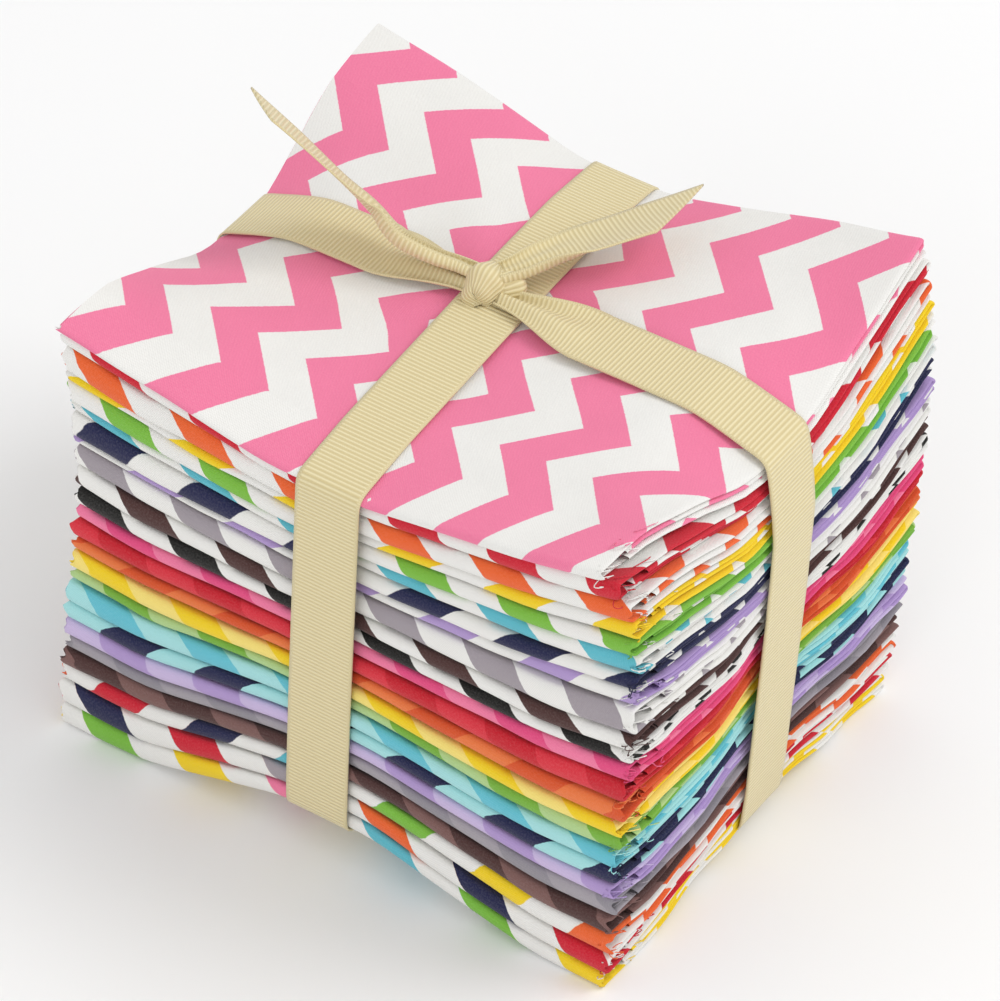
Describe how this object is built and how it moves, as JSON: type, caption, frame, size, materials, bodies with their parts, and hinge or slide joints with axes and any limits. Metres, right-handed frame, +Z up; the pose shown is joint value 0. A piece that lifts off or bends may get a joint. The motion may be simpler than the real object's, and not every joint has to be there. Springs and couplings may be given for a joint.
{
  "type": "fat quarter bundle",
  "caption": "Stack of folded printed quilting cottons, tied crosswise with one grosgrain ribbon that is knotted on top and has two free ends.",
  "frame": {"origin": "bottom centre of the box round the whole object, on the surface that the stack stands on", "axes": "+Z up; +X along the folded front from left to right; +Y from the folded front to the back"},
  "size_m": [0.1514, 0.123, 0.1473],
  "materials": {
    "cotton_01": "plain-woven printed cotton, pink and white chevron",
    "cotton_02": "plain-woven printed cotton, red and white chevron",
    "cotton_03": "plain-woven printed cotton, orange and white chevron",
    "cotton_04": "plain-woven printed cotton, yellow and white chevron",
    "cotton_05": "plain-woven printed cotton, green and white chevron",
    "cotton_06": "plain-woven printed cotton, aqua and white chevron",
    "cotton_07": "plain-woven printed cotton, navy and white chevron",
    "cotton_08": "plain-woven printed cotton, lilac and white chevron",
    "cotton_09": "plain-woven printed cotton, grey and white chevron",
    "cotton_10": "plain-woven printed cotton, brown and white chevron",
    "cotton_11": "plain-woven printed cotton, black and white chevron",
    "cotton_12": "plain-woven printed cotton, two pinks",
    "cotton_13": "plain-woven printed cotton, two reds",
    "cotton_14": "plain-woven printed cotton, two oranges",
    "cotton_15": "plain-woven printed cotton, two yellows",
    "cotton_16": "plain-woven printed cotton, two greens",
    "cotton_17": "plain-woven printed cotton, two aquas",
    "cotton_18": "plain-woven printed cotton, navy on pale aqua",
    "cotton_19": "plain-woven printed cotton, two lilacs",
    "cotton_20": "plain-woven printed cotton, two greys",
    "cotton_21": "plain-woven printed cotton, two browns",
    "cotton_22": "plain-woven printed cotton, many colours on white",
    "cotton_23": "plain-woven printed cotton, many colours on white",
    "cotton_24": "plain-woven printed cotton, many colours on white",
    "grosgrain": "plain cream grosgrain ribbon with fine cross ribs"
  },
  "bodies": {
    "root": {"fat_quarter_01": "cotton_01", "fat_quarter_02": "cotton_02", "fat_quarter_03": "cotton_03", "fat_quarter_04": "cotton_04", "fat_quarter_05": "cotton_05", "fat_quarter_06": "cotton_06", "fat_quarter_07": "cotton_07", "fat_quarter_08": "cotton_08", "fat_quarter_09": "cotton_09", "fat_quarter_10": "cotton_10", "fat_quarter_11": "cotton_11", "fat_quarter_12": "cotton_12", "fat_quarter_13": "cotton_13", "fat_quarter_14": "cotton_14", "fat_quarter_15": "cotton_15", "fat_quarter_16": "cotton_16", "fat_quarter_17": "cotton_17", "fat_quarter_18": "cotton_18", "fat_quarter_19": "cotton_19", "fat_quarter_20": "cotton_20", "fat_quarter_21": "cotton_21", "fat_quarter_22": "cotton_22", "fat_quarter_23": "cotton_23", "fat_quarter_24": "cotton_24", "ribbon_band_long": "grosgrain", "ribbon_band_cross": "grosgrain", "ribbon_knot": "grosgrain", "ribbon_tail_left": "grosgrain", "ribbon_tail_right": "grosgrain"}
  },
  "joints": []
}
